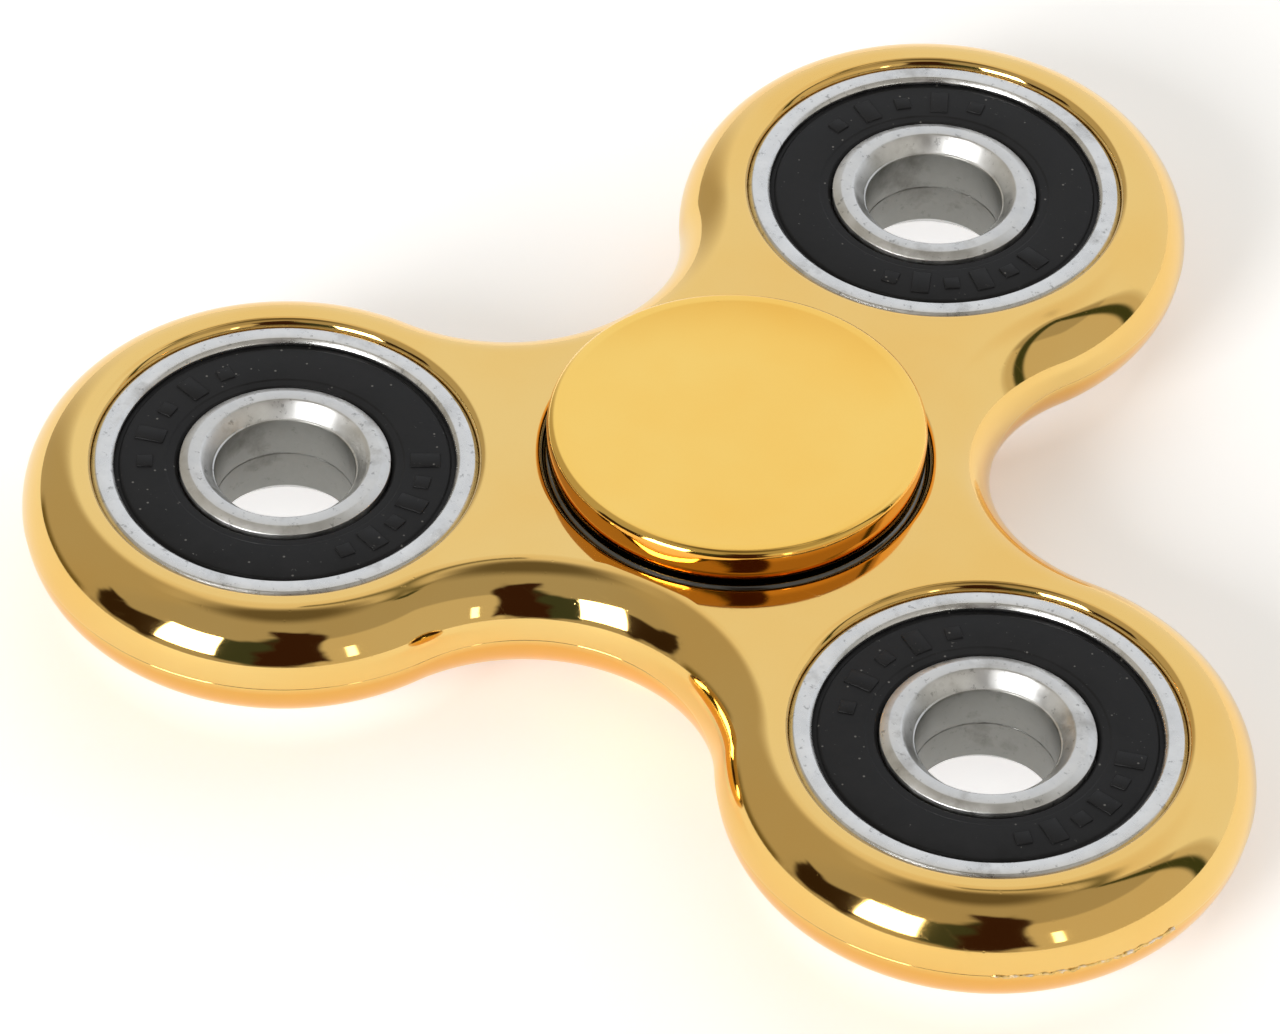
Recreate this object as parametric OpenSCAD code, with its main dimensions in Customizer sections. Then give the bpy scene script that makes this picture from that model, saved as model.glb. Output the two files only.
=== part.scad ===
// Three-lobed finger spinner: one moulded body, four sealed ball bearings and two push-in finger caps.
// Millimetres. The origin is on the spin axis at mid thickness, +Z up, and the first lobe lies along +Y.

/* [Body] */
// Distance from the spin axis to each lobe's centre
arm_length = 25.6; // [25:0.1:26.5]
// Radius of each round lobe
lobe_radius = 15; // [14.8:0.1:16]
// Radius of the concave waist between two lobes
waist_radius = 10.3; // [9.5:0.1:12]
// Thickness of the body
body_thickness = 7.5; // [7.2:0.1:8.4]
// Width and depth of the relief around each bearing seat
seat_edge = 0.25; // [0.1:0.05:0.4]

/* [Bearings] */
// Outer diameter of a bearing
bearing_od = 22; // [21.9:0.05:22.1]
// Bore diameter of a bearing
bearing_bore = 8; // [7.9:0.05:8.1]
// Width of a bearing
bearing_width = 7; // [6.9:0.05:7.1]
// Diameter of one ball
ball_diameter = 3.969; // [3.9:0.001:4]
// Diameter of the circle on which the balls' centres run
pitch_diameter = 15; // [14.9:0.05:15.1]
// Number of balls in a bearing
ball_count = 7; // [6:1:7]
// Clearance around a ball in its raceways and in its cage pocket
ball_clearance = 0.055; // [0.04:0.005:0.07]

/* [Caps] */
// Diameter of a finger cap
cap_diameter = 21.6; // [20:0.1:21.8]
// Height of the whole spinner over both caps
overall_height = 12; // [11.6:0.1:13]
// Gap between the bearing's face and a cap's disc
cap_gap = 0.4; // [0.3:0.05:0.6]
// Depth of the dish for the finger
dish_depth = 0.4; // [0.1:0.05:0.8]
// Length of the hollow stub that pushes into the bore
stub_length = 2.9; // [2:0.1:3.3]
// Clearance between the stub and the bore
stub_clearance = 0.02; // [0.01:0.01:0.05]

/* [Hidden] */
$fn = 96;
BEARINGS = ["centre", "weight_1", "weight_2", "weight_3"];
BEARING_PARTS = ["outer_ring", "inner_ring", "balls", "cage_upper", "cage_lower", "cage_rivets",
                 "seal_top", "seal_bottom", "insert_top", "insert_bottom"];

gold = "#e8bf62";
cap_gold = "#f0bd55";
steel = "#b9b9b6";
cage_steel = "#9a9a98";
ball_steel = "#d9dadc";
rubber = "#2b2b2b";

half = body_thickness / 2;
// The full-round rim is a little wider than half the thickness, so it meets the flat faces at a slight angle.
rim_r = half + 0.05;
lobe_angles = [90, 210, 330];
waist_angles = [30, 150, 270];
// A waist circle touches both neighbouring lobes, so its centre is this far from a lobe's centre.
waist_reach = lobe_radius + waist_radius;
waist_centre = arm_length / 2 + sqrt(pow(waist_reach, 2) - pow(arm_length * sin(60), 2));
// Half of the angle between the two tangent planes of a waist, and of a lobe about its own centre
waist_half_angle = asin(arm_length * sin(60) / waist_reach);
lobe_half_angle = 60 + waist_half_angle;
// A waist runs this far into its lobes, with its rim this far inside theirs, so that the solids overlap cleanly.
waist_overlap_angle = 0.5;
waist_inset = 0.02;

face = bearing_width / 2;
outer_r = bearing_od / 2;
bore_r = bearing_bore / 2;
pitch_r = pitch_diameter / 2;
ball_r = ball_diameter / 2;
race_r = ball_r + ball_clearance;
outer_land_r = pitch_r + 1.4;
inner_land_r = pitch_r - 1.5;
ring_chamfer = 0.25;
countersink_w = 0.6;
countersink_h = 0.9;
inner_bevel_w = 0.5;
inner_bevel_h = 0.25;

seat_mouth_r = outer_r - 1.3;
seal_seat_r = outer_r - 1.05;
seal_seat_low = face - 0.8;
seal_seat_high = face - 0.4;
seal_face = face - 0.3;
seal_rim_r = seal_seat_r - 0.1;
seal_step_r = seal_seat_r - 0.6;
lip_clearance = 0.06;
lip_r = inner_land_r + lip_clearance;
insert_in_r = inner_land_r + 0.7;
insert_out_r = outer_land_r + 0.4;
insert_t = 0.2;

cage_in_r = pitch_r - 0.75;
cage_out_r = pitch_r + 0.75;
cage_t = 0.3;
rivet_r = 0.28;
rivet_head_r = 0.5;
rivet_head_h = 0.2;
rivet_bevel = 0.1;
rivet_hole_clearance = 0.02;

top = overall_height / 2;
cap_r = cap_diameter / 2;
cap_under = face + cap_gap;
cap_fillet = 0.5;
cap_chamfer = 0.2;
dish_r = cap_r - 1.1;
// Radius of the sphere that cuts a dish of this depth and width
dish_sphere_r = (pow(dish_r, 2) + pow(dish_depth, 2)) / (2 * dish_depth);
boss_r = pitch_r - 2;
stub_r = bore_r - stub_clearance;
stub_wall = 1.5;
stub_tip = face - stub_length;
stub_lead = 0.3;
stub_roof = 3;

// Moves its children to a bearing: the centre one, or one at a lobe.
module at_bearing(name) {
    index = search([name], BEARINGS)[0];
    if (index == 0) children();
    else rotate([0, 0, lobe_angles[index - 1]]) translate([arm_length, 0, 0]) children();
}

// Places its children at each ball, or half a step on, at each rivet.
module around_pitch(offset_steps = 0)
    for (i = [0 : ball_count - 1])
        rotate([0, 0, (i + offset_steps) * 360 / ball_count]) translate([pitch_r, 0, 0]) children();

// A section's points above the mid plane, followed by their mirror images below it.
function mirrored(points) = concat(points, [for (i = [len(points) - 1 : -1 : 0]) [points[i][0], -points[i][1]]]);

module tube(r_in, r_out, z_low, z_high)
    rotate_extrude() translate([r_in, z_low]) square([r_out - r_in, z_high - z_low]);

// Section of the body at its rim: a round nose and the web behind it, left too thick until the faces are cut.
module rim_section(nose_at, web_from, web_half) {
    translate([web_from, -web_half]) square([lobe_radius - rim_r, 2 * web_half]);
    translate([nose_at, 0]) circle(rim_r);
}

// Solid of a lobe about its own centre, with its rim outside.
module lobe()
    rotate([0, 0, -lobe_half_angle]) rotate_extrude(angle = 2 * lobe_half_angle)
        rim_section(lobe_radius - rim_r, 0, rim_r + 0.5);

// Solid of a waist about the centre of its hollow, with its rim inside, reaching to the lobes' centres.
module waist() {
    half_angle = waist_half_angle + waist_overlap_angle;
    nose_at = waist_radius + waist_inset + rim_r;
    rotate([0, 0, 180 - half_angle]) rotate_extrude(angle = 2 * half_angle)
        rim_section(nose_at, nose_at, rim_r + 1);
}

// Through hole for one bearing, relieved by a small step at both faces.
module bearing_seat() {
    cylinder(h = 2 * body_thickness, r = outer_r, center = true);
    for (side = [-1, 1]) translate([0, 0, side * (half + seat_edge)])
        cylinder(h = 4 * seat_edge, r = outer_r + seat_edge, center = true);
}

module body()
    color(gold) difference() {
        intersection() {
            union() {
                for (a = lobe_angles) rotate([0, 0, a]) translate([arm_length, 0, 0]) lobe();
                for (a = waist_angles) rotate([0, 0, a]) translate([waist_centre, 0, 0]) waist();
            }
            cube([4 * arm_length, 4 * arm_length, body_thickness], center = true);
        }
        for (b = BEARINGS) at_bearing(b) bearing_seat();
    }

// Outer ring: outer corner, rim of the face, seal seat and shoulder, with the raceway turned inside.
module outer_ring()
    color(steel) rotate_extrude() difference() {
        polygon(mirrored([[outer_r, face - ring_chamfer], [outer_r - ring_chamfer, face],
                          [seat_mouth_r + 0.2, face], [seat_mouth_r, face - 0.2], [seat_mouth_r, seal_seat_high],
                          [seal_seat_r, seal_seat_high], [seal_seat_r, seal_seat_low],
                          [outer_land_r, seal_seat_low]]));
        translate([pitch_r, 0]) circle(race_r);
    }

// Inner ring: bevelled shoulder, face, countersink and bore, with the raceway turned outside.
module inner_ring()
    color(steel) rotate_extrude() difference() {
        polygon(mirrored([[inner_land_r, face - inner_bevel_h], [inner_land_r - inner_bevel_w, face],
                          [bore_r + countersink_w, face], [bore_r, face - countersink_h]]));
        translate([pitch_r, 0]) circle(race_r);
    }

module balls() color(ball_steel) around_pitch() sphere(ball_r);

// Upper half of the ribbon cage: a flat ring with a round pocket over each ball and a hole for each rivet.
module cage_half()
    color(cage_steel) difference() {
        intersection() {
            tube(cage_in_r, cage_out_r, 0, race_r + cage_t + 1);
            union() {
                translate([0, 0, -1]) cylinder(h = 1 + cage_t, r = pitch_r + 2);
                around_pitch() sphere(race_r + cage_t);
            }
        }
        around_pitch() sphere(race_r);
        around_pitch(0.5) cylinder(h = 4 * cage_t, r = rivet_r + rivet_hole_clearance, center = true);
    }

module cage_rivets()
    color(cage_steel) around_pitch(0.5) rotate_extrude()
        polygon(mirrored([[0, cage_t + rivet_head_h], [rivet_head_r - rivet_bevel, cage_t + rivet_head_h],
                          [rivet_head_r, cage_t + rivet_head_h - rivet_bevel], [rivet_head_r, cage_t],
                          [rivet_r, cage_t]]));

// Rubber of a seal: bead in the outer ring's seat, flat face, and a lip that runs just clear of the inner ring.
module seal()
    color(rubber) rotate_extrude()
        polygon([[seal_rim_r, seal_seat_low], [seal_rim_r, seal_seat_high - 0.05],
                 [seal_step_r + 0.1, seal_seat_high - 0.05], [seal_step_r, seal_face], [lip_r + 0.24, seal_face],
                 [lip_r, seal_face - 0.35], [lip_r, seal_seat_low], [insert_in_r, seal_seat_low],
                 [insert_in_r, seal_seat_low + insert_t], [insert_out_r, seal_seat_low + insert_t],
                 [insert_out_r, seal_seat_low]]);

// Steel washer bonded into the seal's inner side.
module seal_insert() color(steel) tube(insert_in_r, insert_out_r, seal_seat_low, seal_seat_low + insert_t);

// Finger cap: dished disc, boss on the inner ring's face and hollow stub in the bore.
module cap()
    color(cap_gold) difference() {
        rotate_extrude() {
            polygon([[0, cap_under], [cap_r - cap_chamfer, cap_under], [cap_r, cap_under + cap_chamfer],
                     [cap_r, top - cap_fillet], [cap_r - cap_fillet, top - cap_fillet],
                     [cap_r - cap_fillet, top], [0, top]]);
            translate([cap_r - cap_fillet, top - cap_fillet]) intersection() {
                circle(cap_fillet);
                square(cap_fillet);
            }
            translate([0, face]) square([boss_r, cap_gap]);
            polygon([[0, stub_tip], [stub_r - stub_lead, stub_tip], [stub_r, stub_tip + stub_lead],
                     [stub_r, face], [0, face]]);
        }
        translate([0, 0, top - dish_depth + dish_sphere_r]) sphere(dish_sphere_r, $fn = 360);
        translate([0, 0, stub_tip - 1]) cylinder(h = stub_roof - stub_tip + 1, r = stub_r - stub_wall);
    }

module top_cap() cap();

module bottom_cap() mirror([0, 0, 1]) cap();

module bearing_part(part) {
    if (part == "outer_ring") outer_ring();
    if (part == "inner_ring") inner_ring();
    if (part == "balls") balls();
    if (part == "cage_upper") cage_half();
    if (part == "cage_lower") mirror([0, 0, 1]) cage_half();
    if (part == "cage_rivets") cage_rivets();
    if (part == "seal_top") seal();
    if (part == "seal_bottom") mirror([0, 0, 1]) seal();
    if (part == "insert_top") seal_insert();
    if (part == "insert_bottom") mirror([0, 0, 1]) seal_insert();
}

body();
top_cap();
bottom_cap();
for (b = BEARINGS) for (p = BEARING_PARTS)
    at_bearing(b) bearing_part(p);
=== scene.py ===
"""Looks of a three-lobed finger spinner: gold-plated body and caps round four sealed ball bearings.

Lengths are in metres. The origin is on the spin axis at mid thickness, +Z is up, and the first lobe lies
along +Y.
"""

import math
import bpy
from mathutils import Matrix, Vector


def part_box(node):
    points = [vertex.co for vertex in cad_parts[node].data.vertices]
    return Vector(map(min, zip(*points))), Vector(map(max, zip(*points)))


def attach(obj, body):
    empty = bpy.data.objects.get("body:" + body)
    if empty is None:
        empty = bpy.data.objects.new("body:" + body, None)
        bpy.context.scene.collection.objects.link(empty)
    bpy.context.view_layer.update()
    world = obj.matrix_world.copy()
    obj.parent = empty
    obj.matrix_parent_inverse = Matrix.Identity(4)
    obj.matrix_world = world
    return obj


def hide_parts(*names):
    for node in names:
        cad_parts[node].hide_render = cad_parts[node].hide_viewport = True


bl_info = {
    "name": "Finger Spinner",
    "version": (1, 0, 0),
    "blender": (4, 5, 0),
    "location": "View3D > Sidebar > Spinner",
    "description": "Builds the plated body, caps, bearings and studio of a three-lobed finger spinner",
    "category": "Object",
}

import bmesh
import bpy
from bpy.props import FloatProperty, FloatVectorProperty, IntProperty, PointerProperty
from mathutils import Euler, Matrix, Vector, noise

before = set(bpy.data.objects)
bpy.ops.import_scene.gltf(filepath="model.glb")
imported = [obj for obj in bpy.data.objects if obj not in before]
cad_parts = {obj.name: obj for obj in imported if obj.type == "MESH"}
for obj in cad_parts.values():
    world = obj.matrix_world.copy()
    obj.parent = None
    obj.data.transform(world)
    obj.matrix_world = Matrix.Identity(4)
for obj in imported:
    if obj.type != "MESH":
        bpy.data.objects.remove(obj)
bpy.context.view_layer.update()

MM = 0.001
AXIS = Vector((0, 0, 1))
SIXTH = math.radians(60)
BEARINGS = ("centre", "weight_1", "weight_2", "weight_3")
LOBES = BEARINGS[1:]
# How far each bearing happens to be turned in its hole, in degrees
SEAL_TURNS = {"centre": 60, "weight_1": 130, "weight_2": 177, "weight_3": 162}
# Faces round the lobes, waists, caps and rings, and across a dish
LOBE_STEPS = 168
WAIST_STEPS = 64
CAP_STEPS = 144
RING_STEPS = 132
DISH_STEPS = 20
# Vertices closer than this are one, edges shorter than this have no length, and lobes meet waists within this
MERGE = 1e-6
SLIVER = 1e-7
SEAM_MERGE = 0.01 * MM
# Stretch of the mould flash round the end of its lobe, in degrees from +X, and its steps
FLASH_START = -63
FLASH_SWEEP = 42
FLASH_STEPS = 150
# Sockets of a Mix node in colour mode
MIX_AMOUNT = 0
MIX_FIRST = 6
MIX_SECOND = 7
MIX_RESULT = 2
# Camera
LENS = 221.7
SENSOR = 36.0
CAMERA_AT = (0.138193, -0.291066, 0.314628)
CAMERA_TURN = (45.4913, -1.3599, 27.6818)


def centre_of(node):
    """Middle of a CAD node's box."""
    low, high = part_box(node)
    return (low + high) / 2


def outer_radius(node):
    """Half the width of a round CAD node."""
    low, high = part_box(node)
    return (high.x - low.x) / 2


def top_of(node):
    """Height of a CAD node's highest point."""
    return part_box(node)[1].z


CENTRES = {name: centre_of(name + "_outer_ring") for name in BEARINGS}
ARM = CENTRES["weight_1"].y
HALF_BODY = top_of("body")
LOBE_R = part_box("body")[1].y - ARM
BEARING_R = outer_radius("centre_outer_ring")
BEARING_TOP = top_of("centre_outer_ring")
CAP_R = outer_radius("top_cap")
CAP_TOP = top_of("top_cap")


def length(name, description, default, low=0.0, high=0.1):
    """A size that a user may change."""
    return FloatProperty(name=name, description=description, default=default, min=low, max=high,
                         unit="LENGTH", precision=5)


def colour(name, description, default):
    """A colour that a user may change."""
    return FloatVectorProperty(name=name, description=description, default=default, size=3,
                               subtype="COLOR", min=0.0, max=1.0)


class SpinnerBodySizes(bpy.types.PropertyGroup):
    """Sizes of the moulded body."""

    waist_radius: length("Waist radius", "Radius of the hollow between two lobes", 10.3 * MM)
    rim_width: length("Rim width", "Width of the rounded rim, from flat face to outer edge", 3.12 * MM)
    rim_shoulder: FloatProperty(name="Rim shoulder", description="Power that fills out the rim near the flat",
                                default=1.7, min=1.2, max=4.0)
    rim_nose: FloatProperty(name="Rim nose", description="Power that fills out the rim at its outer edge",
                            default=1.95, min=1.2, max=4.0)
    rim_steps: IntProperty(name="Rim steps", description="Faces down each half of the rim", default=24,
                           min=6, max=48)
    hole_edge: length("Hole edge", "Radius of the rounding at each bearing hole", 0.46 * MM)
    hole_gap: length("Hole gap", "Play drawn between a hole's wall and its bearing", 0.02 * MM)
    seam_depth: length("Seam depth", "Depth of the parting line's groove", 0.05 * MM)
    seam_half_height: length("Seam half height", "Half the height of the parting line's groove", 0.05 * MM)
    lower_inset: length("Lower inset", "How far the lower mould half sits inside the upper one", 0.045 * MM)


class SpinnerCapSizes(bpy.types.PropertyGroup):
    """Sizes of the two finger caps."""

    dish_radius: length("Dish radius", "Radius of the dish in a cap's face", 10.0 * MM)
    dish_depth: length("Dish depth", "Depth of the dish", 0.34 * MM)
    edge_radius: length("Edge radius", "Rounding of the top edge", 0.5 * MM)
    disc_height: length("Disc height", "Height of the cap's side", 2.1 * MM)
    boss_radius: length("Boss radius", "Radius of the boss on the inner ring", 5.5 * MM)
    stub_radius: length("Stub radius", "Radius of the stub in the bore", 3.98 * MM)
    stub_length: length("Stub length", "Length of the stub below the bearing's face", 2.9 * MM)
    stub_bore: length("Stub bore", "Radius of the stub's hollow", 2.48 * MM)


class SpinnerBearingSizes(bpy.types.PropertyGroup):
    """Sizes of the ball bearings."""

    bore_radius: length("Bore radius", "Radius of the bore", 4.0 * MM)
    pitch_radius: length("Pitch radius", "Radius of the circle on which the balls run", 7.5 * MM)
    race_radius: length("Race radius", "Radius of the raceway's groove", 2.0395 * MM)
    corner: length("Corner", "Bevel of a ring's outer corner", 0.25 * MM)
    mouth_radius: length("Mouth radius", "Radius of the opening that holds the seal", 9.7 * MM)
    outer_land: length("Outer land", "Radius of the outer ring's shoulder beside the balls", 8.9 * MM)
    inner_land: length("Inner land", "Radius of the inner ring's shoulder beside the balls", 6.0 * MM)
    bevel_width: length("Bevel width", "Width of the bevel round the inner ring's face", 0.5 * MM)
    bevel_height: length("Bevel height", "Height of the bevel round the inner ring's face", 0.25 * MM)
    countersink_width: length("Mouth width", "Width of the bore's tapered mouth", 0.74 * MM)
    countersink_depth: length("Mouth depth", "Depth of the bore's tapered mouth", 0.95 * MM)
    seal_drop: length("Seal drop", "How far a seal's face lies below the ring's face", 0.3 * MM)
    mark_height: length("Mark height", "How far the raised marks stand out of a seal", 0.09 * MM)


class SpinnerFinishes(bpy.types.PropertyGroup):
    """Colours of the finishes."""

    body_gold: colour("Body gold", "Plating on the body", (0.83, 0.565, 0.195))
    cap_gold: colour("Cap gold", "Plating on the caps", (0.93, 0.61, 0.155))
    # Painted reflection: the caps' sides are tinted a darker orange amber for the gold they reflect from the
    # body
    cap_side_reflection_gold: colour("Cap side gold", "Deeper plating round the caps' sides", (0.90, 0.46, 0.085))
    ring_steel: colour("Ring steel", "Ground steel of the rings", (0.66, 0.66, 0.65))
    rubber: colour("Rubber", "Rubber of the seals", (0.009, 0.009, 0.0095))
    floor: colour("Floor", "Studio floor", (0.95, 0.95, 0.95))


# Shapes


def arc(centre, radius, start, end, steps):
    """Points of an arc in a section, from one angle to another in degrees."""
    angles = [math.radians(start + (end - start) * i / steps) for i in range(steps + 1)]
    return [(centre[0] + radius * math.cos(a), centre[1] + radius * math.sin(a)) for a in angles]


def mirrored(points):
    """A section's points above the mid plane, followed by their mirror images below it."""
    return points + [(r, -z) for r, z in reversed(points)]


def turned_to(centre, angle):
    """The move that puts a section at a centre, turned about the vertical by an angle in radians."""
    return Matrix.Translation(centre) @ Matrix.Rotation(angle, 4, "Z")


def section(bm, points, closed, place=None):
    """Vertices and edges of a section in the XZ plane, moved by place."""
    place = place or Matrix.Identity(4)
    verts = [bm.verts.new(place @ Vector((r, 0, z))) for r, z in points]
    pairs = list(zip(verts, verts[1:])) + ([(verts[-1], verts[0])] if closed else [])
    return verts + [bm.edges.new(pair) for pair in pairs]


def turned(points, closed, steps=RING_STEPS):
    """A mesh made by turning a section once round the Z axis."""
    bm = bmesh.new()
    bmesh.ops.spin(bm, geom=section(bm, points, closed), cent=(0, 0, 0), axis=AXIS, angle=2 * math.pi,
                   steps=steps, use_merge=True)
    return bm


def join(bm, other, place=(0, 0, 0)):
    """Adds another mesh at a place, and frees it."""
    bmesh.ops.translate(other, vec=place, verts=other.verts)
    mesh = bpy.data.meshes.new("joined")
    other.to_mesh(mesh)
    other.free()
    bm.from_mesh(mesh)
    bpy.data.meshes.remove(mesh)


def tidy(bm):
    """Merges doubled vertices and points every face outwards."""
    bmesh.ops.remove_doubles(bm, verts=bm.verts, dist=MERGE)
    bmesh.ops.dissolve_degenerate(bm, edges=bm.edges, dist=SLIVER)
    bmesh.ops.recalc_face_normals(bm, faces=bm.faces)


def round_edges(bm, edges, width):
    """Rounds edges with a two-step bevel."""
    bmesh.ops.bevel(bm, geom=edges, offset=width, offset_type="OFFSET", segments=2, profile=0.5,
                    affect="EDGES", clamp_overlap=True, material=-1)


def soften(bm, width, sharper_than):
    """Rounds every edge that turns by more than an angle in degrees."""
    limit = math.radians(sharper_than)
    round_edges(bm, [e for e in bm.edges if len(e.link_faces) == 2 and e.calc_face_angle() > limit], width)


def piece(name, bm, materials, body, stands_for=(), second=None):
    """Makes a finished mesh object that rides on a body. Faces picked by second take the second material."""
    for face in bm.faces:
        face.smooth = True
        face.material_index = 1 if second and second(face.calc_center_median()) else 0
    mesh = bpy.data.meshes.new(name)
    bm.to_mesh(mesh)
    bm.free()
    for material in materials:
        mesh.materials.append(material)
    shape = bpy.data.objects.new(name, mesh)
    bpy.context.scene.collection.objects.link(shape)
    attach(shape, body)
    if stands_for:
        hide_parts(*stands_for)
    return shape


# Finishes


class Finish:
    """A procedural material on one glossy shader, patterned in object coordinates."""

    def __init__(self, name, **sockets):
        self.material = bpy.data.materials.new(name)
        self.material.use_nodes = True
        self.nodes = self.material.node_tree.nodes
        self.links = self.material.node_tree.links
        self.shader = self.nodes["Principled BSDF"]
        self.place = self.nodes.new("ShaderNodeTexCoord").outputs["Object"]
        for socket, value in sockets.items():
            self.shader.inputs[socket.replace("_", " ")].default_value = value

    def add(self, kind, inputs=None, **settings):
        """Adds a node. Inputs are linked where they are sockets and set where they are values."""
        node = self.nodes.new(kind)
        for key, value in settings.items():
            setattr(node, key, value)
        for key, value in (inputs or {}).items():
            if isinstance(value, bpy.types.NodeSocket):
                self.links.new(value, node.inputs[key])
            else:
                node.inputs[key].default_value = value
        return node

    def noise(self, scale, detail=3.0, roughness=0.5, place=None):
        """Cloudy pattern from 0 to 1."""
        inputs = {"Vector": place or self.place, "Scale": scale, "Detail": detail, "Roughness": roughness}
        return self.add("ShaderNodeTexNoise", inputs).outputs["Fac"]

    def cells(self, scale):
        """Distance to the nearest of many scattered points."""
        return self.add("ShaderNodeTexVoronoi", {"Vector": self.place, "Scale": scale}).outputs["Distance"]

    def stretched(self, scale, turn=(0, 0, 0)):
        """Object coordinates, scaled and turned."""
        return self.add("ShaderNodeMapping", {"Vector": self.place, "Scale": scale,
                                              "Rotation": turn}).outputs["Vector"]

    def math(self, kind, *values):
        """Result of a Math node."""
        return self.add("ShaderNodeMath", dict(enumerate(values)), operation=kind).outputs[0]

    def remap(self, value, low, high, to_low, to_high):
        """A value moved from one range to another, and kept inside it."""
        return self.add("ShaderNodeMapRange", {"Value": value, "From Min": low, "From Max": high,
                                               "To Min": to_low, "To Max": to_high}).outputs["Result"]

    def mix(self, amount, first, second):
        """A colour between two colours."""
        node = self.add("ShaderNodeMix", data_type="RGBA")
        self.links.new(amount, node.inputs[MIX_AMOUNT])
        for index, value in ((MIX_FIRST, first), (MIX_SECOND, second)):
            if isinstance(value, bpy.types.NodeSocket):
                self.links.new(value, node.inputs[index])
            else:
                node.inputs[index].default_value = (*value, 1)
        return node.outputs[MIX_RESULT]

    def bump(self, height, distance, strength=1.0, onto=None):
        """Surface direction of a relief, laid over another one."""
        inputs = {"Height": height, "Distance": distance, "Strength": strength}
        if onto is not None:
            inputs["Normal"] = onto
        return self.add("ShaderNodeBump", inputs).outputs["Normal"]

    def connect(self, **sockets):
        """Links patterns to the shader, and gives the finished material."""
        for socket, output in sockets.items():
            self.links.new(output, self.shader.inputs[socket.replace("_", " ")])
        return self.material


def shade(tint, factor):
    """A colour made darker or lighter."""
    return tuple(min(1.0, c * factor) for c in tint)


def gold_plate(name, tint, grain=0.05, shaded_lower_half=False):
    """Metallised plastic: mirror gloss with a faint orange-peel skin, haze and fine handling scratches.
    With painted shade, the body's lower mould half is tinted a darker, more orange amber."""
    finish = Finish(name, Metallic=1.0, Roughness=grain)
    haze = finish.noise(90, 4)
    warm = (tint[0], tint[1] * 0.93, tint[2] * 0.8)
    tone = finish.mix(finish.remap(haze, 0.35, 0.7, 0, 1), tint, warm)
    if shaded_lower_half:
        # Painted shade: below the parting line the tone is mixed toward a darker, more orange amber
        height = finish.add("ShaderNodeSeparateXYZ", {0: finish.place}).outputs["Z"]
        painted_shade_amber = (tint[0] * 0.97, tint[1] * 0.79, tint[2] * 0.54)
        tone = finish.mix(finish.remap(height, 0.0, -0.5 * MM, 0, 1), tone, painted_shade_amber)
    scratch = finish.noise(420, 2, place=finish.stretched((1, 14, 1), (0, 0, 0.6)))
    hair = finish.remap(scratch, 0.66, 0.7, 0, 1)
    gloss = finish.remap(haze, 0.3, 0.75, grain * 0.7, grain * 1.7)
    rough = finish.math("MULTIPLY_ADD", hair, 0.05, gloss)
    skin = finish.bump(finish.noise(260, 2, 0.4), 0.00002, 0.22)
    grit = finish.bump(finish.remap(finish.cells(1500), 0.0, 0.12, 0, 1), 0.000008, 0.25, skin)
    return finish.connect(Base_Color=tone, Roughness=rough, Normal=grit)


def torn_plate(name, tint):
    """Plating over torn moulding flash, worn pale in places."""
    finish = Finish(name, Metallic=1.0, Roughness=0.3)
    torn = finish.noise(1500, 4, 0.7)
    tone = finish.mix(finish.remap(torn, 0.5, 0.62, 0, 1), shade(tint, 0.95), (0.86, 0.74, 0.6))
    return finish.connect(Base_Color=tone, Roughness=finish.remap(torn, 0.3, 0.7, 0.15, 0.5),
                          Normal=finish.bump(torn, 0.00004, 0.5))


def ground_steel(name, tint, rough=0.28, pits=0.6):
    """Ground bearing steel: a satin grey with fine dark pits and a cloudy, slightly uneven gloss."""
    finish = Finish(name, Metallic=1.0, Roughness=rough)
    cloud = finish.noise(700, 4, 0.6)
    pitted = finish.remap(finish.noise(1700, 4, 0.75), 0.33, 0.41, 1, 0)
    clear = finish.mix(finish.remap(cloud, 0.3, 0.7, 0, 1), shade(tint, 0.88), shade(tint, 1.1))
    stain = finish.remap(finish.noise(240, 5, 0.65), 0.56, 0.74, 0, 1)
    grey = finish.mix(stain, clear, shade((tint[0], tint[1] * 0.97, tint[2] * 0.93), 0.55))
    tone = finish.mix(finish.math("MULTIPLY", pitted, pits), grey, shade(tint, 0.3))
    gloss = finish.remap(cloud, 0.3, 0.7, rough * 0.8, rough * 1.25)
    relief = finish.bump(finish.noise(2600, 3, 0.7), 0.00002, 0.35)
    return finish.connect(Base_Color=tone, Roughness=gloss, Normal=relief)


def seal_rubber(name, tint):
    """Moulded black rubber: a soft satin skin with a fine grain and specks of dust."""
    finish = Finish(name, Roughness=0.5, Specular_IOR_Level=0.16)
    cloud = finish.noise(500, 4, 0.6)
    tone = finish.mix(finish.remap(cloud, 0.35, 0.7, 0, 1), tint, shade(tint, 1.7))
    near = finish.remap(finish.cells(1100), 0.05, 0.09, 0.45, 0)
    fluff = finish.remap(finish.noise(3200, 3, 0.7), 0.69, 0.75, 0, 0.35)
    dusty = finish.mix(finish.math("MAXIMUM", near, fluff), tone, (0.30, 0.29, 0.27))
    gloss = finish.remap(cloud, 0.3, 0.7, 0.36, 0.56)
    grain = finish.bump(finish.noise(4200, 2), 0.00001, 0.3)
    return finish.connect(Base_Color=dusty, Roughness=gloss, Normal=grain)


def polished_steel(name, tint):
    """Polished ball steel with the faintest haze."""
    finish = Finish(name, Metallic=1.0, Roughness=0.08)
    haze = finish.noise(900, 3)
    tone = finish.mix(finish.remap(haze, 0.35, 0.7, 0, 1), tint, shade(tint, 0.9))
    return finish.connect(Base_Color=tone, Roughness=finish.remap(haze, 0.3, 0.7, 0.05, 0.13))


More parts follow.
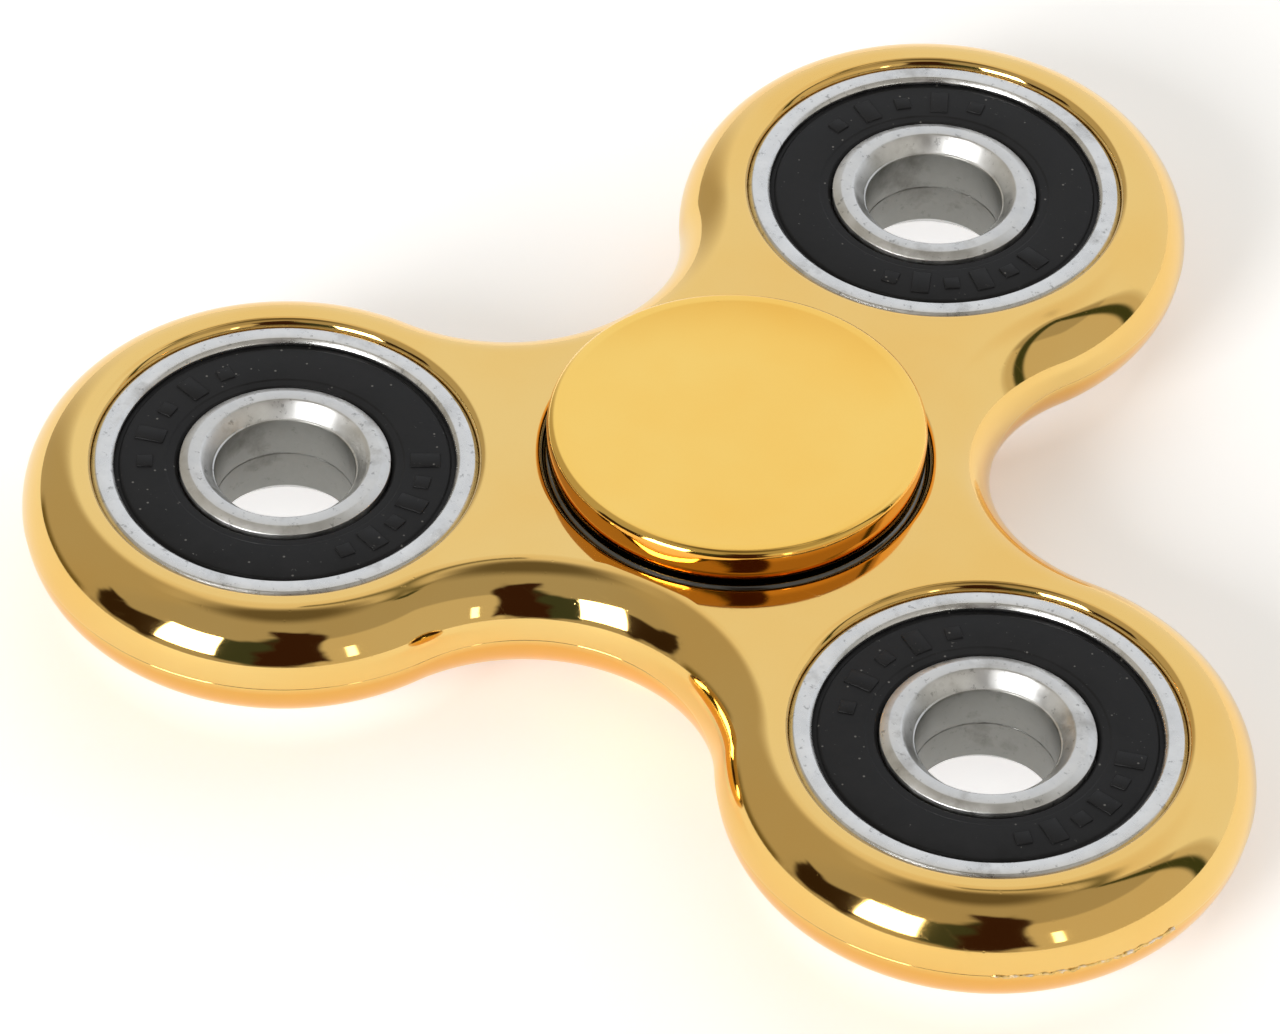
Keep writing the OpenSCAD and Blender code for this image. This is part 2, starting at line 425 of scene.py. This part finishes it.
def pressed_steel(name, tint):
    """Cold-pressed sheet steel with fine drawing lines."""
    finish = Finish(name, Metallic=1.0, Roughness=0.4)
    lines = finish.noise(900, 3, place=finish.stretched((1, 1, 9)))
    tone = finish.mix(finish.remap(lines, 0.3, 0.7, 0, 1), shade(tint, 0.8), tint)
    return finish.connect(Base_Color=tone, Roughness=finish.remap(lines, 0.3, 0.7, 0.3, 0.5),
                          Normal=finish.bump(lines, 0.00001, 0.3))


def studio_paper(name, tint):
    """Smooth pale paper on a light table: it glows a little all over, and painted light makes it glow more
    under the three lobes, where it shows through the bores.
    """
    finish = Finish(name, Roughness=0.85, Specular_IOR_Level=0.1, Emission_Color=(1, 1, 1, 1))
    glow = 0.28
    # Painted light: a brighter glowing patch under each lobe lightens the shadow seen through its bore
    for lobe in LOBES:
        under = Vector((CENTRES[lobe].x, CENTRES[lobe].y, 0))
        reach = finish.add("ShaderNodeVectorMath", {0: finish.place, 1: under}, operation="DISTANCE")
        painted_light_spot = finish.remap(reach.outputs["Value"], 10 * MM, 15 * MM, 0.42, 0)
        glow = finish.math("ADD", painted_light_spot, glow)
    fibre = finish.noise(120, 4, 0.6)
    tone = finish.mix(finish.remap(fibre, 0.3, 0.7, 0, 1), tint, shade(tint, 0.985))
    return finish.connect(Base_Color=tone, Emission_Strength=glow)


# Pieces


def rim_points(sizes):
    """Section down the rim: distance out from the flat face's edge, and height."""
    steps, width, half = sizes.rim_steps, sizes.rim_width, HALF_BODY
    upper = []
    for i in range(steps + 1):
        t = math.pi / 2 * i / steps
        out = math.sin(t) ** (2 / sizes.rim_shoulder)
        up = max(math.cos(t), 0.0) ** (2 / sizes.rim_nose)
        upper.append((width * out, half * up))
    upper = [p for p in upper if p[1] > 2.2 * sizes.seam_half_height]
    upper.append((width, 1.4 * sizes.seam_half_height))
    upper.append((width - 0.2 * sizes.seam_depth, 0.7 * sizes.seam_half_height))
    groove = [(width - sizes.seam_depth - sizes.lower_inset, 0.0)]
    lower = [(out - sizes.lower_inset, -up) for out, up in reversed(upper)]
    return upper + groove + lower


class SPINNER_OT_body(bpy.types.Operator):
    """Moulded body: three lobes and hollow waists with a rounded rim, a parting line and four holes"""

    bl_idname = "spinner.body"
    bl_label = "Moulded Body"

    def execute(self, context):
        sizes = context.scene.spinner_body
        colours = context.scene.spinner_finishes
        reach = LOBE_R + sizes.waist_radius
        aside = ARM * math.sin(SIXTH)
        waist_half = math.asin(aside / reach)
        waist_at = ARM / 2 + math.sqrt(reach ** 2 - aside ** 2)
        lobe_half = SIXTH + waist_half

        bm = bmesh.new()
        flat_r = LOBE_R - sizes.rim_width
        rim = [(flat_r + out, up) for out, up in rim_points(sizes)]
        for i, lobe in enumerate(LOBES):
            start = math.radians(90 + 120 * i) - lobe_half
            part = bmesh.new()
            geom = section(part, rim, False, turned_to(CENTRES[lobe], start))
            bmesh.ops.spin(part, geom=geom, cent=CENTRES[lobe], axis=AXIS, angle=2 * lobe_half,
                           steps=LOBE_STEPS)
            join(bm, part)

            to_waist = math.radians(150 + 120 * i)
            waist = Vector((waist_at * math.cos(to_waist), waist_at * math.sin(to_waist), 0))
            part = bmesh.new()
            start = to_waist + math.pi + waist_half
            inward = [(reach - r, up) for r, up in rim]
            geom = section(part, inward, False, turned_to(waist, start))
            bmesh.ops.spin(part, geom=geom, cent=waist, axis=AXIS, angle=-2 * waist_half, steps=WAIST_STEPS)
            join(bm, part)
        seams = [v for v in bm.verts if v.is_boundary]
        bmesh.ops.remove_doubles(bm, verts=seams, dist=SEAM_MERGE)

        wall_r = BEARING_R + sizes.hole_gap
        edge = sizes.hole_edge
        hole = mirrored(arc((wall_r + edge, HALF_BODY - edge), edge, 90, 180, 7))
        for name in BEARINGS:
            wall = turned(hole, False)
            bmesh.ops.remove_doubles(wall, verts=wall.verts, dist=MERGE)
            join(bm, wall, CENTRES[name])

        for side in (1, -1):
            rims = [e for e in bm.edges if e.is_boundary
                    and all(abs(v.co.z - side * HALF_BODY) < MERGE for v in e.verts)]
            bmesh.ops.triangle_fill(bm, use_beauty=True, edges=rims, normal=AXIS * side)
            for e in rims:
                e.smooth = False
        bmesh.ops.recalc_face_normals(bm, faces=bm.faces)
        open_edges = sum(1 for e in bm.edges if len(e.link_faces) != 2)
        if open_edges:
            raise RuntimeError(f"the body has {open_edges} open edges")
        # The body's plate carries painted shade on its lower half
        plate = gold_plate("body_gold_plate", colours.body_gold, shaded_lower_half=True)
        piece("plated_body", bm, [plate], "rotor", ["body"])
        return {"FINISHED"}


class SPINNER_OT_flash(bpy.types.Operator):
    """Ragged strip of mould flash left on the parting line at the end of one lobe, where the gate was"""

    bl_idname = "spinner.flash"
    bl_label = "Mould Flash"

    def execute(self, context):
        colours = context.scene.spinner_finishes
        bm = bmesh.new()
        radius, middle = LOBE_R - 0.02 * MM, CENTRES["weight_3"]
        shape = [(radius - 0.14 * MM, 0.17 * MM), (radius + 0.02 * MM, 0.11 * MM), (radius + 0.1 * MM, 0.0),
                 (radius, -0.12 * MM), (radius - 0.16 * MM, -0.19 * MM)]
        start = turned_to(middle, math.radians(FLASH_START))
        bmesh.ops.spin(bm, geom=section(bm, shape, True, start), cent=middle, axis=AXIS,
                       angle=math.radians(FLASH_SWEEP), steps=FLASH_STEPS)
        bmesh.ops.holes_fill(bm, edges=[e for e in bm.edges if e.is_boundary], sides=8)
        for vert in bm.verts:
            out = (vert.co - middle).normalized()
            if (vert.co - middle).length > radius - 0.05 * MM:
                rough = noise.noise(vert.co * 3200) + 0.5 * noise.noise(vert.co * 9000)
                vert.co += out * rough * 0.1 * MM + AXIS * noise.noise(vert.co * 2100) * 0.14 * MM
        bmesh.ops.recalc_face_normals(bm, faces=bm.faces)
        torn = torn_plate("torn_gold_plate", colours.body_gold)
        piece("mould_flash", bm, [torn], "rotor")
        return {"FINISHED"}


class SPINNER_OT_caps(bpy.types.Operator):
    """Two dished finger caps with their bosses and hollow stubs"""

    bl_idname = "spinner.caps"
    bl_label = "Finger Caps"

    def execute(self, context):
        sizes = context.scene.spinner_caps
        colours = context.scene.spinner_finishes
        plate = gold_plate("cap_gold_plate", colours.cap_gold, 0.065)
        # Painted reflection: the caps' sides take a darker orange amber plate for the gold reflected between
        # cap and body
        side_reflection_plate = gold_plate("cap_side_painted_reflection_plate", colours.cap_side_reflection_gold, 0.05)
        edge, under = sizes.edge_radius, CAP_TOP - sizes.disc_height
        tip, hollow_end = BEARING_TOP - sizes.stub_length, BEARING_TOP - 0.5 * MM
        dish = [(sizes.dish_radius * math.sin(t), CAP_TOP - sizes.dish_depth * (1 - math.sin(t) ** 5))
                for t in (math.radians(90 / DISH_STEPS * i) for i in range(DISH_STEPS + 1))]
        side = arc((CAP_R - edge, CAP_TOP - edge), edge, 90, 0, 8)
        below = [(CAP_R, under + 0.2 * MM), (CAP_R - 0.2 * MM, under), (sizes.boss_radius, under),
                 (sizes.boss_radius, BEARING_TOP), (sizes.stub_radius, BEARING_TOP),
                 (sizes.stub_radius, tip + 0.3 * MM), (sizes.stub_radius - 0.3 * MM, tip),
                 (sizes.stub_bore, tip), (sizes.stub_bore, hollow_end), (0, hollow_end)]
        for name, flip in (("top_cap", False), ("bottom_cap", True)):
            bm = turned(dish + side + below, False, CAP_STEPS)
            if flip:
                bmesh.ops.scale(bm, vec=(1, 1, -1), verts=bm.verts)
            tidy(bm)
            soften(bm, 0.05 * MM, 22)
            piece("plated_" + name, bm, [plate, side_reflection_plate], name, [name],
                  lambda at: at.xy.length > CAP_R - 0.1 * MM)
        return {"FINISHED"}


class SPINNER_OT_rings(bpy.types.Operator):
    """Outer and inner rings of the four bearings, ground and bevelled, with their raceways"""

    bl_idname = "spinner.rings"
    bl_label = "Bearing Rings"

    def execute(self, context):
        sizes = context.scene.spinner_bearings
        tint = context.scene.spinner_finishes.ring_steel
        ground = ground_steel("ring_steel", tint)
        turned_steel = ground_steel("inner_ring_steel", shade(tint, 0.97), 0.4)
        # Painted shade: the inner rings' bore walls are painted a darker grey, for the shade inside the bores
        bore_shade_steel = ground_steel("bore_painted_shade_steel", shade((tint[0], tint[1], tint[2] * 0.95), 0.42), 0.42, 0.25)
        # Painted shade: the centre bearing's outer ring is painted a dark grey for the shade and dark
        # reflection under the caps
        centre_ring_shade_steel = ground_steel("centre_ring_painted_shade_steel", shade(tint, 0.22), 0.16, 0.3)
        face, corner, pitch, race = BEARING_TOP, sizes.corner, sizes.pitch_radius, sizes.race_radius
        seat_r, seat_low, seat_high = BEARING_R - 1.05 * MM, face - 0.8 * MM, face - 0.4 * MM
        out_angle = math.degrees(math.acos((sizes.outer_land - pitch) / race))
        in_angle = math.degrees(math.acos((sizes.inner_land - pitch) / race))
        outer = [(BEARING_R, face - corner), (BEARING_R - corner, face),
                 (sizes.mouth_radius + 0.2 * MM, face), (sizes.mouth_radius, face - 0.2 * MM),
                 (sizes.mouth_radius, seat_high), (seat_r, seat_high), (seat_r, seat_low),
                 (sizes.outer_land, seat_low)]
        outer_race = arc((pitch, 0), race, out_angle, -out_angle, 12)
        bore, mouth, deep = sizes.bore_radius, sizes.countersink_width, sizes.countersink_depth
        funnel = [(bore, face - deep), (bore + 0.05 * MM, face - deep + 0.06 * MM),
                  (bore + 0.13 * MM, face - deep + 0.1 * MM), (bore + 0.17 * MM, face - deep + 0.2 * MM),
                  (bore + 0.8 * mouth, face - 0.3 * deep), (bore + mouth, face - 0.06 * MM),
                  (bore + mouth + 0.09 * MM, face)]
        line = [(bore, -0.06 * MM), (bore + 0.05 * MM, 0.0), (bore, 0.06 * MM)]
        inner = funnel + [(sizes.inner_land - sizes.bevel_width, face),
                          (sizes.inner_land, face - sizes.bevel_height)]
        inner_race = arc((pitch, 0), race, in_angle, 360 - in_angle, 12)
        for name in BEARINGS:
            inner_body = "hub" if name == "centre" else name + "_ring"
            kinds = (("outer_ring", outer, outer_race, [], "rotor"),
                     ("inner_ring", inner, inner_race, line, inner_body))
            for kind, upper, groove, middle, body in kinds:
                below = [(r, -z) for r, z in reversed(upper)]
                bm = turned(upper + groove + below + middle, True)
                tidy(bm)
                soften(bm, 0.05 * MM, 24)
                bmesh.ops.translate(bm, vec=CENTRES[name], verts=bm.verts)
                steel = ground if kind == "outer_ring" else turned_steel
                # The centre outer ring takes the steel with painted shade
                if (name, kind) == ("centre", "outer_ring"):
                    steel = centre_ring_shade_steel
                piece(f"{name}_{kind}_ground", bm, [steel, bore_shade_steel], body,
                      [f"{name}_{kind}"], lambda at: (at - CENTRES[name]).xy.length < bore + 0.07 * MM)
        return {"FINISHED"}


class SPINNER_OT_seals(bpy.types.Operator):
    """Rubber seals on both sides of the four bearings, with two arcs of plain raised marks"""

    bl_idname = "spinner.seals"
    bl_label = "Rubber Seals"

    def execute(self, context):
        sizes = context.scene.spinner_bearings
        rubber = seal_rubber("seal_rubber", context.scene.spinner_finishes.rubber)
        low, high, face = BEARING_TOP - 0.8 * MM, BEARING_TOP - 0.45 * MM, BEARING_TOP - sizes.seal_drop
        rim_r, step_r = BEARING_R - 1.15 * MM, BEARING_R - 1.65 * MM
        lip_r = sizes.inner_land + 0.06 * MM
        washer_in, washer_out = sizes.inner_land + 0.7 * MM, sizes.outer_land + 0.4 * MM
        profile = [(rim_r, low), (rim_r, high), (step_r + 0.1 * MM, high), (step_r, face - 0.03 * MM),
                   (step_r - 0.12 * MM, face), (lip_r + 0.75 * MM, face),
                   (lip_r + 0.65 * MM, face - 0.05 * MM), (lip_r + 0.24 * MM, face - 0.05 * MM),
                   (lip_r, face - 0.35 * MM), (lip_r, low), (washer_in, low), (washer_in, low + 0.2 * MM),
                   (washer_out, low + 0.2 * MM), (washer_out, low)]
        marks_r = 7.95 * MM
        for name in BEARINGS:
            for end, flip in (("top", False), ("bottom", True)):
                bm = turned(profile, True)
                tidy(bm)
                soften(bm, 0.03 * MM, 20)
                marks = bmesh.new()
                for angle, size in self.marks():
                    bar = bmesh.ops.create_cube(marks, size=1.0)["verts"]
                    bmesh.ops.scale(marks, vec=(size[0], size[1], 2 * sizes.mark_height), verts=bar)
                    bmesh.ops.translate(marks, vec=(marks_r, 0, face), verts=bar)
                    bmesh.ops.rotate(marks, cent=(0, 0, 0), verts=bar,
                                     matrix=Matrix.Rotation(math.radians(angle), 3, "Z"))
                round_edges(marks, list(marks.edges), 0.05 * MM)
                join(bm, marks)
                spin = Matrix.Rotation(math.radians(SEAL_TURNS[name]), 3, "Z")
                bmesh.ops.rotate(bm, cent=(0, 0, 0), matrix=spin, verts=bm.verts)
                if flip:
                    bmesh.ops.scale(bm, vec=(1, 1, -1), verts=bm.verts)
                    bmesh.ops.recalc_face_normals(bm, faces=bm.faces)
                bmesh.ops.translate(bm, vec=CENTRES[name], verts=bm.verts)
                piece(f"{name}_seal_{end}_moulded", bm, [rubber], "rotor",
                      [f"{name}_seal_{end}"])
        return {"FINISHED"}

    @staticmethod
    def marks():
        """Angle of each raised pad, and its size along and across the radius."""
        bar, stud = (1.7 * MM, 1.05 * MM), (0.9 * MM, 0.9 * MM)
        first = [(16 * (i - 2), bar if i % 2 else stud) for i in range(5)]
        second = [(180 + 13 * (i - 2.5), bar if i % 2 else stud) for i in range(6)]
        return first + second


class SPINNER_OT_insides(bpy.types.Operator):
    """Finishes of the balls, cages, rivets and seal washers inside the bearings"""

    bl_idname = "spinner.insides"
    bl_label = "Bearing Insides"

    def execute(self, context):
        finishes = {"balls": polished_steel("ball_steel", (0.72, 0.73, 0.75)),
                    "cage": pressed_steel("cage_steel", (0.46, 0.46, 0.45)),
                    "insert": pressed_steel("washer_steel", (0.5, 0.5, 0.5))}
        for name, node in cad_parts.items():
            for word, material in finishes.items():
                if f"_{word}" in name:
                    node.data.materials.clear()
                    node.data.materials.append(material)
        return {"FINISHED"}


class Room:
    """World whose colour depends on the direction, built up by painting one patch over another."""

    def __init__(self, facing):
        self.world = bpy.data.worlds.new("studio_room")
        self.world.use_nodes = True
        self.nodes, self.links = self.world.node_tree.nodes, self.world.node_tree.links
        place = self.nodes.new("ShaderNodeTexCoord").outputs["Generated"]
        faced = self.nodes.new("ShaderNodeMapping")
        self.links.new(place, faced.inputs["Vector"])
        faced.inputs["Rotation"].default_value = (0, 0, -math.radians(facing))
        split = self.nodes.new("ShaderNodeSeparateXYZ")
        self.links.new(faced.outputs["Vector"], split.inputs[0])
        self.around = self.degrees("ARCTAN2", split.outputs["Y"], split.outputs["X"])
        self.height = self.degrees("ARCSINE", split.outputs["Z"])
        ripple = self.nodes.new("ShaderNodeTexNoise")
        self.links.new(place, ripple.inputs["Vector"])
        ripple.inputs["Scale"].default_value = 2.6
        shift = self.math("MULTIPLY", self.math("SUBTRACT", ripple.outputs["Fac"], 0.5), 26)
        self.wavy = (self.math("ADD", self.around, shift), self.math("ADD", self.height, shift))
        self.colour = None

    def math(self, kind, *values):
        """Result of a Math node."""
        node = self.nodes.new("ShaderNodeMath")
        node.operation = kind
        for i, value in enumerate(values):
            if isinstance(value, bpy.types.NodeSocket):
                self.links.new(value, node.inputs[i])
            else:
                node.inputs[i].default_value = value
        return node.outputs[0]

    def degrees(self, kind, *values):
        """Result of a Math node, turned into degrees."""
        return self.math("MULTIPLY", self.math(kind, *values), 180 / math.pi)

    def ramp(self, value, start, end):
        """Smooth rise from 0 to 1."""
        node = self.nodes.new("ShaderNodeMapRange")
        node.interpolation_type = "SMOOTHSTEP"
        self.links.new(value, node.inputs["Value"])
        node.inputs["From Min"].default_value, node.inputs["From Max"].default_value = start, end
        return node.outputs["Result"]

    def paint(self, tint, around=None, height=None, soft=2.0, far=None, wobble=False):
        """Paints a colour between two directions and two heights in degrees, with soft edges."""
        masks = []
        across, upward = self.wavy if wobble else (self.around, self.height)
        for value, span in ((across, around), (upward, height)):
            if span:
                masks.append(self.ramp(value, span[0] - soft, span[0] + soft))
                masks.append(self.math("SUBTRACT", 1.0, self.ramp(value, span[1] - soft, span[1] + soft)))
        if far is not None:
            masks.append(self.ramp(self.math("ABSOLUTE", self.around), far - soft, far + soft))
        amount = masks[0] if masks else None
        for mask in masks[1:]:
            amount = self.math("MULTIPLY", amount, mask)
        node = self.nodes.new("ShaderNodeMix")
        node.data_type = "RGBA"
        node.inputs[MIX_SECOND].default_value = (*tint, 1)
        if amount is None:
            node.inputs[MIX_AMOUNT].default_value = 1.0
        else:
            self.links.new(amount, node.inputs[MIX_AMOUNT])
        if self.colour is not None:
            self.links.new(self.colour, node.inputs[MIX_FIRST])
        self.colour = node.outputs[MIX_RESULT]

    def finish(self):
        self.links.new(self.colour, self.nodes["Background"].inputs["Color"])
        return self.world


def studio_room():
    """The studio round the spinner. Directions are in degrees from the camera, plus to its right, and heights
    in degrees above level."""
    room = Room(-63.6)
    # Walls: the near side, its brighter right part, the bright panel on the far side, and the left side
    room.paint((0.455, 0.43, 0.385))
    room.paint((0.66, 0.625, 0.56), (14, 100), (-10, 41), 1.5)
    room.paint((0.97, 1.0, 1.05), far=100, height=(-20, 64), soft=3)
    room.paint((0.90, 0.86, 0.80), far=100, height=(54, 80), soft=9)
    room.paint((0.50, 0.46, 0.385), (-152, -76), (-10, 75), 14)
    # Dim ceiling, and the dark edges of the far panel
    room.paint((0.155, 0.135, 0.095), height=(75, 100), soft=8)
    room.paint((0.05, 0.065, 0.03), (86, 93), (-10, 66), 1.5)
    room.paint((0.13, 0.13, 0.08), (90, 190), (65, 70), 3.5)
    # Low dark things on the left, then the dark shapes on the near side
    room.paint((0.17, 0.14, 0.06), (-122, -84), (-7, 6), 4)
    room.paint((0.035, 0.02, 0.01), (-78, -50), (2, 34), 2, wobble=True)
    room.paint((0.05, 0.065, 0.045), (-24, -3), (4, 42), 3, wobble=True)
    room.paint((0.04, 0.016, 0.009), (-6, 19), (4, 58), 2.5, wobble=True)
    # Window, and a small one to its right
    room.paint((15.0, 15.0, 15.0), (-49, -25), (9, 38), 0.8)
    room.paint((4.0, 4.0, 3.8), (27, 31), (8, 24), 0.6)
    return room.finish()


class SPINNER_OT_stage(bpy.types.Operator):
    """Pale floor, surroundings that give the light, and camera"""

    bl_idname = "spinner.stage"
    bl_label = "Studio"

    def execute(self, context):
        scene = context.scene
        bm = bmesh.new()
        bmesh.ops.create_grid(bm, x_segments=1, y_segments=1, size=4.0)
        bmesh.ops.translate(bm, vec=(0, 0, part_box("bottom_cap")[0].z - 0.02 * MM), verts=bm.verts)
        mesh = bpy.data.meshes.new("studio_floor")
        bm.to_mesh(mesh)
        bm.free()
        mesh.materials.append(studio_paper("studio_paper", scene.spinner_finishes.floor))
        floor = bpy.data.objects.new("studio_floor", mesh)
        scene.collection.objects.link(floor)

        scene.world = studio_room()
        scene.view_settings.view_transform = "Standard"

        data = bpy.data.cameras.new("view_camera")
        data.lens = LENS
        data.sensor_width = SENSOR
        data.clip_start = 0.01
        data.clip_end = 20.0
        camera = bpy.data.objects.new("view_camera", data)
        camera.location = CAMERA_AT
        camera.rotation_euler = Euler([math.radians(angle) for angle in CAMERA_TURN])
        scene.collection.objects.link(camera)
        scene.camera = camera
        return {"FINISHED"}


STEPS = (SPINNER_OT_stage, SPINNER_OT_body, SPINNER_OT_flash, SPINNER_OT_caps, SPINNER_OT_rings,
         SPINNER_OT_seals, SPINNER_OT_insides)
GROUPS = (("spinner_body", SpinnerBodySizes), ("spinner_caps", SpinnerCapSizes),
          ("spinner_bearings", SpinnerBearingSizes), ("spinner_finishes", SpinnerFinishes))


class SPINNER_PT_sidebar(bpy.types.Panel):
    """Sizes, colours and steps of the finger spinner"""

    bl_idname = "SPINNER_PT_sidebar"
    bl_label = "Finger Spinner"
    bl_space_type = "VIEW_3D"
    bl_region_type = "UI"
    bl_category = "Spinner"

    def draw(self, context):
        for group, _ in GROUPS:
            box = self.layout.box()
            box.label(text=group.replace("spinner_", "").capitalize())
            settings = getattr(context.scene, group)
            for name in settings.bl_rna.properties.keys():
                if name not in ("rna_type", "name"):
                    box.prop(settings, name)
        for step in STEPS:
            self.layout.operator(step.bl_idname)


def register():
    for group, kind in GROUPS:
        bpy.utils.register_class(kind)
        setattr(bpy.types.Scene, group, PointerProperty(type=kind))
    for kind in STEPS + (SPINNER_PT_sidebar,):
        bpy.utils.register_class(kind)


def unregister():
    for kind in reversed(STEPS + (SPINNER_PT_sidebar,)):
        bpy.utils.unregister_class(kind)
    for group, kind in reversed(GROUPS):
        delattr(bpy.types.Scene, group)
        bpy.utils.unregister_class(kind)


def main():
    register()
    for step in STEPS:
        section_name, operator = step.bl_idname.split(".")
        getattr(getattr(bpy.ops, section_name), operator)()


if __name__ == "__main__":
    main()
